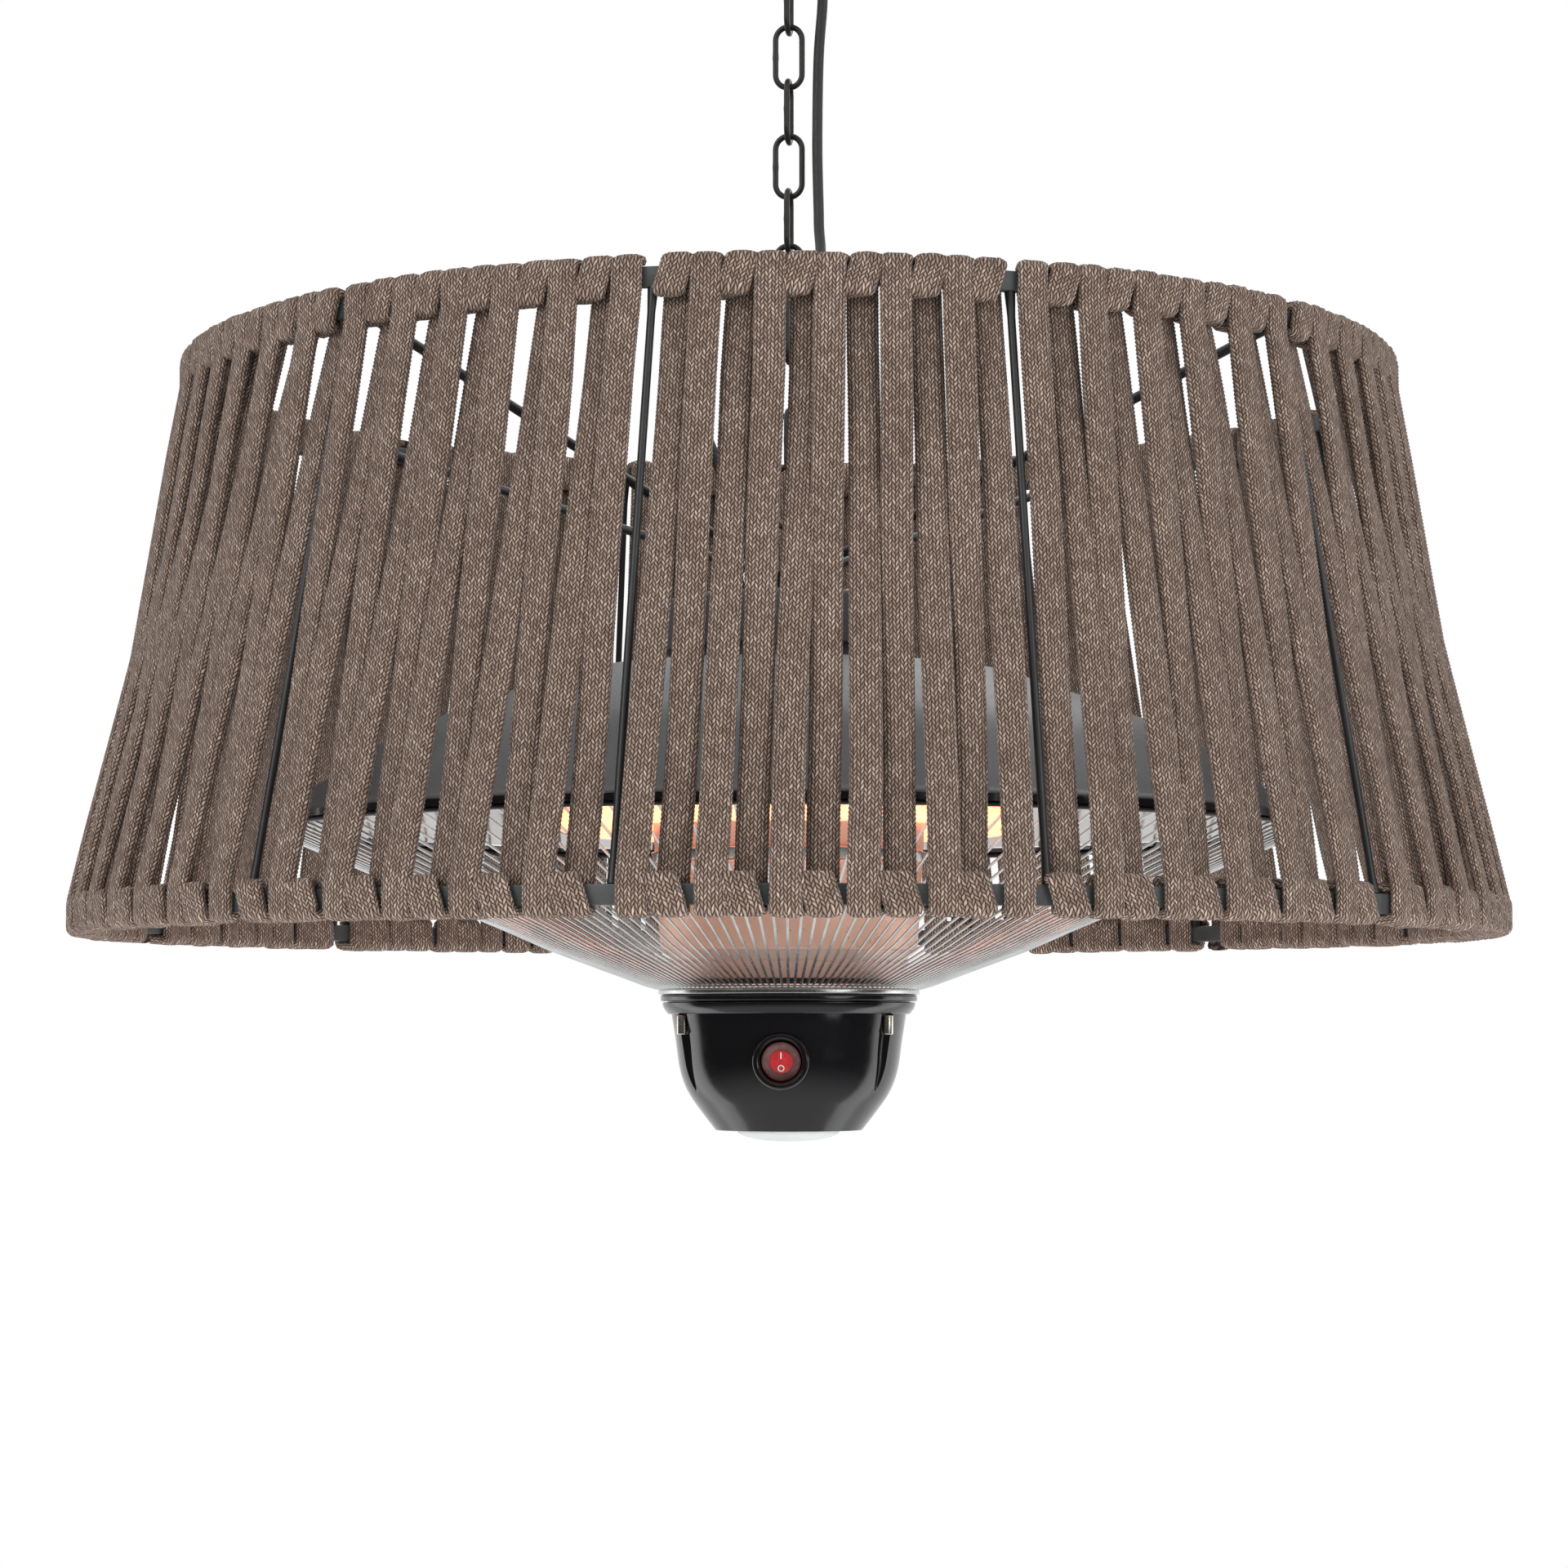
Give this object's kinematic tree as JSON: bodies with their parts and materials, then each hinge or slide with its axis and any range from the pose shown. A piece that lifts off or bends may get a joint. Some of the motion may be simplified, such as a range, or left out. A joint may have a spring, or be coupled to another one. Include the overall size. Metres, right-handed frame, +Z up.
{
  "type": "hanging patio heater",
  "caption": "Round electric patio heater that hangs on a chain inside a rope-wound lamp shade.",
  "frame": {"origin": "centre of the ceiling plate's top face", "axes": "+Z up, against the ceiling; -Y towards the side that the switch faces; +X to its right"},
  "size_m": [0.6, 0.6, 0.5227],
  "materials": {
    "black_paint": "satin",
    "frame_paint": "matt",
    "dark_paint": "satin",
    "chain_paint": "satin",
    "black_plastic": "gloss",
    "cable_rubber": "matt",
    "zinc": "zinc plated",
    "nickel": "nickel plated",
    "bright_steel": "chromed",
    "reflector_metal": "polished",
    "rope": "woven",
    "lamp_glass": "clear",
    "ceramic": "matt",
    "frosted_lens": "frosted",
    "rocker_plastic": "gloss"
  },
  "bodies": {
    "ceiling": {"ceiling_plate": "black_paint", "ceiling_hook": "zinc", "ceiling_gland": "black_plastic", "power_cable": "cable_rubber"},
    "link_10_body": {"link_10": "chain_paint"},
    "link_09_body": {"link_09": "chain_paint"},
    "link_08_body": {"link_08": "chain_paint"},
    "link_07_body": {"link_07": "chain_paint"},
    "link_06_body": {"link_06": "chain_paint"},
    "link_05_body": {"link_05": "chain_paint"},
    "link_04_body": {"link_04": "chain_paint"},
    "link_03_body": {"link_03": "chain_paint"},
    "link_02_body": {"link_02": "chain_paint"},
    "link_01_body": {"link_01": "chain_paint"},
    "heater": {"eye_bolt": "zinc", "cable_gland": "black_plastic", "spider": "black_paint", "top_ring": "frame_paint", "bottom_ring": "frame_paint", "top_cap": "dark_paint", "reflector": "reflector_metal", "lamp_ring": "lamp_glass", "lamp_bracket_left": "ceramic", "lamp_bracket_right": "ceramic", "core_column": "bright_steel", "grille": "bright_steel", "grille_collar": "bright_steel", "head_housing": "black_plastic", "lens": "frosted_lens", "screw_1": "nickel", "screw_2": "nickel", "screw_3": "nickel", "switch_bezel": "black_plastic", "rib_01": "black_paint", "rib_02": "black_paint", "rib_03": "black_paint", "rib_04": "black_paint", "rib_05": "black_paint", "rib_06": "black_paint", "rib_07": "black_paint", "rib_08": "black_paint", "rib_09": "black_paint", "rib_10": "black_paint", "rib_11": "black_paint", "rib_12": "black_paint", "rope_bay_01": "rope", "rope_bay_02": "rope", "rope_bay_03": "rope", "rope_bay_04": "rope", "rope_bay_05": "rope", "rope_bay_06": "rope", "rope_bay_07": "rope", "rope_bay_08": "rope", "rope_bay_09": "rope", "rope_bay_10": "rope", "rope_bay_11": "rope", "rope_bay_12": "rope"},
    "rocker": {"switch_rocker": "rocker_plastic"}
  },
  "joints": [
    {"name": "link_10_swing", "type": "hinge", "parent": "ceiling", "child": "link_10_body", "pos_m": [0, 0, -0.0225], "axis": [0.9816, -0.1908, 0], "range_deg": [-8, 8], "deforming": ["power_cable"]},
    {"name": "link_09_swing", "type": "hinge", "parent": "link_10_body", "child": "link_09_body", "pos_m": [0, 0, -0.04615], "axis": [0.1908, 0.9816, 0], "range_deg": [-8, 8], "deforming": ["power_cable"]},
    {"name": "link_08_swing", "type": "hinge", "parent": "link_09_body", "child": "link_08_body", "pos_m": [0, 0, -0.07005], "axis": [0.9816, -0.1908, 0], "range_deg": [-8, 8], "deforming": ["power_cable"]},
    {"name": "link_07_swing", "type": "hinge", "parent": "link_08_body", "child": "link_07_body", "pos_m": [0, 0, -0.09395], "axis": [0.1908, 0.9816, 0], "range_deg": [-8, 8], "deforming": ["power_cable"]},
    {"name": "link_06_swing", "type": "hinge", "parent": "link_07_body", "child": "link_06_body", "pos_m": [0, 0, -0.11785], "axis": [0.9816, -0.1908, 0], "range_deg": [-8, 8], "deforming": ["power_cable"]},
    {"name": "link_05_swing", "type": "hinge", "parent": "link_06_body", "child": "link_05_body", "pos_m": [0, 0, -0.14175], "axis": [0.1908, 0.9816, 0], "range_deg": [-8, 8], "deforming": ["power_cable"]},
    {"name": "link_04_swing", "type": "hinge", "parent": "link_05_body", "child": "link_04_body", "pos_m": [0, 0, -0.16565], "axis": [0.9816, -0.1908, 0], "range_deg": [-8, 8], "deforming": ["power_cable"]},
    {"name": "link_03_swing", "type": "hinge", "parent": "link_04_body", "child": "link_03_body", "pos_m": [0, 0, -0.18955], "axis": [0.1908, 0.9816, 0], "range_deg": [-8, 8], "deforming": ["power_cable"]},
    {"name": "link_02_swing", "type": "hinge", "parent": "link_03_body", "child": "link_02_body", "pos_m": [0, 0, -0.21345], "axis": [0.9816, -0.1908, 0], "range_deg": [-8, 8], "deforming": ["power_cable"]},
    {"name": "link_01_swing", "type": "hinge", "parent": "link_02_body", "child": "link_01_body", "pos_m": [0, 0, -0.23735], "axis": [0.1908, 0.9816, 0], "range_deg": [-8, 8], "deforming": ["power_cable"]},
    {"name": "heater_swing", "type": "hinge", "parent": "link_01_body", "child": "heater", "pos_m": [0, 0, -0.26125], "axis": [0.9816, -0.1908, 0], "range_deg": [-8, 8], "deforming": ["power_cable"]},
    {"name": "switch_rock", "type": "hinge", "parent": "heater", "child": "rocker", "pos_m": [0, -0.04505, -0.4882], "axis": [1, 0, 0], "range_deg": [0, 16]}
  ]
}
